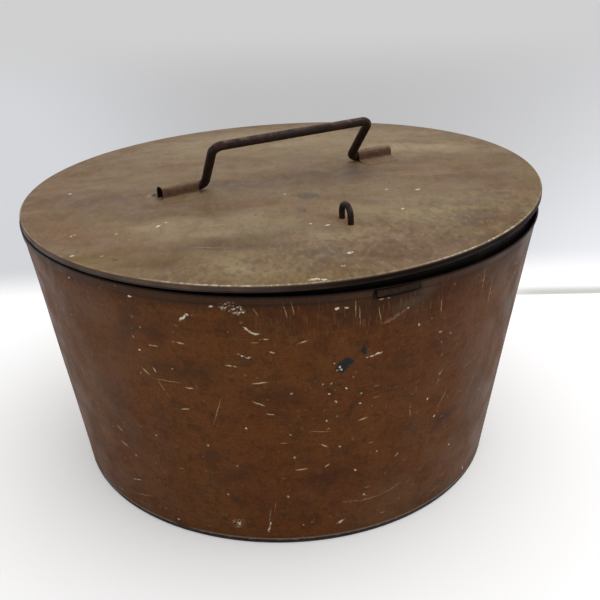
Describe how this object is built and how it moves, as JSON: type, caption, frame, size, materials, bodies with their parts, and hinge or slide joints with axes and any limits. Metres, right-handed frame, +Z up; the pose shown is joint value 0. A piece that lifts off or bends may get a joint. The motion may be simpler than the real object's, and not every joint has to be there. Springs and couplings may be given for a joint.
{
  "type": "lidded storage tin",
  "caption": "Large round tapered sheet-metal tin with a lift-off crowned lid, a swinging wire carrying handle, a wire staple for a hasp and a plug collar under the lid.",
  "frame": {"origin": "centre of the foot, on the surface that the tin stands on", "axes": "+Z up, +X to the right along the handle, -Y to the front, where the staple is"},
  "size_m": [0.2891, 0.29, 0.1933],
  "materials": {
    "wall_paint": "old brown baked paint, scratched and chipped to pale primer",
    "base_paint": "old brown paint, rubbed to dark steel",
    "hasp_paint": "old brown paint with dark edges",
    "lid_paint": "faded khaki-brown paint with dull stains and cream specks",
    "collar_paint": "dark brown paint",
    "saddle_paint": "worn brown paint over soldered strip",
    "wire_rust": "near-black paint gone to dark rust"
  },
  "bodies": {
    "tin": {"body_wall": "wall_paint", "base_plate": "base_paint", "hasp_plate": "hasp_paint"},
    "lid": {"lid_plate": "lid_paint", "lid_collar": "collar_paint", "left_saddle": "saddle_paint", "right_saddle": "saddle_paint", "staple": "wire_rust"},
    "bail": {"handle": "wire_rust"}
  },
  "joints": [
    {"name": "lid_lift", "type": "slide", "parent": "tin", "child": "lid", "axis": [0, 0, 1], "range_m": [0, 0.08]},
    {"name": "handle_swing", "type": "hinge", "parent": "lid", "child": "bail", "pos_m": [0.00005, -0.00083, 0.16355], "axis": [0.9995, 0.0002, 0.0309], "range_deg": [-130, 49]}
  ]
}
